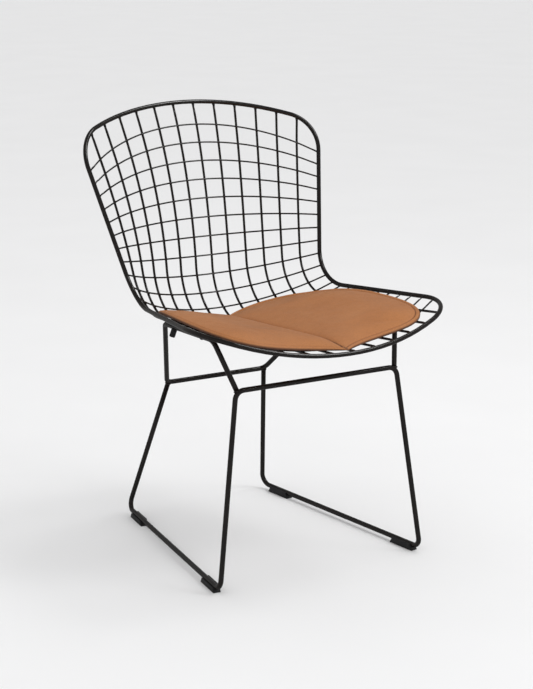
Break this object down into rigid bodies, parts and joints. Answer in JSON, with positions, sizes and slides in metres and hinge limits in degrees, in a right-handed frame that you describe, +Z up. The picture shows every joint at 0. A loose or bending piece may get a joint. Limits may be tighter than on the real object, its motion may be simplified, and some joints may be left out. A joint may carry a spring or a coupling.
{
  "type": "wire mesh chair",
  "caption": "Dining chair with a one-piece bucket shell of welded wire mesh on a bent rod base with floor rails, and a loose leather seat pad.",
  "frame": {"origin": "on the floor, under the middle of the chair: on its plane of symmetry, halfway between the front edge of the seat and the top of the back", "axes": "+Z up from the floor, +Y towards the back of the chair (it faces -Y), +X towards the left hand of a person sitting in it; X = 0 is the plane of symmetry"},
  "size_m": [0.4994, 0.5953, 0.783],
  "materials": {
    "shell_wire_finish": "gloss dark bronze",
    "base_rod_finish": "gloss dark bronze",
    "pad_leather": "tan, satin",
    "moulded_plastic": "matte",
    "screw_steel": "plain"
  },
  "bodies": {
    "root": {"clip_blocks": "moulded_plastic", "clip_caps": "moulded_plastic", "clip_screws": "screw_steel", "cross_wire_01": "shell_wire_finish", "cross_wire_02": "shell_wire_finish", "cross_wire_03": "shell_wire_finish", "cross_wire_04": "shell_wire_finish", "cross_wire_05": "shell_wire_finish", "cross_wire_06": "shell_wire_finish", "cross_wire_07": "shell_wire_finish", "cross_wire_08": "shell_wire_finish", "cross_wire_09": "shell_wire_finish", "cross_wire_10": "shell_wire_finish", "cross_wire_11": "shell_wire_finish", "cross_wire_12": "shell_wire_finish", "cross_wire_13": "shell_wire_finish", "cross_wire_14": "shell_wire_finish", "cross_wire_15": "shell_wire_finish", "cross_wire_16": "shell_wire_finish", "cross_wire_17": "shell_wire_finish", "cross_wire_18": "shell_wire_finish", "cross_wire_19": "shell_wire_finish", "cross_wire_20": "shell_wire_finish", "cross_wire_21": "shell_wire_finish", "cross_wire_22": "shell_wire_finish", "glide_front_left": "moulded_plastic", "glide_front_right": "moulded_plastic", "glide_rear_left": "moulded_plastic", "glide_rear_right": "moulded_plastic", "long_wire_1_left": "shell_wire_finish", "long_wire_1_right": "shell_wire_finish", "long_wire_2_left": "shell_wire_finish", "long_wire_2_right": "shell_wire_finish", "long_wire_3_left": "shell_wire_finish", "long_wire_3_right": "shell_wire_finish", "long_wire_4_left": "shell_wire_finish", "long_wire_4_right": "shell_wire_finish", "long_wire_5_left": "shell_wire_finish", "long_wire_5_right": "shell_wire_finish", "long_wire_6_left": "shell_wire_finish", "long_wire_6_right": "shell_wire_finish", "lower_frame": "base_rod_finish", "rim": "shell_wire_finish", "seat_pad": "pad_leather", "upper_frame": "base_rod_finish"}
  },
  "joints": []
}
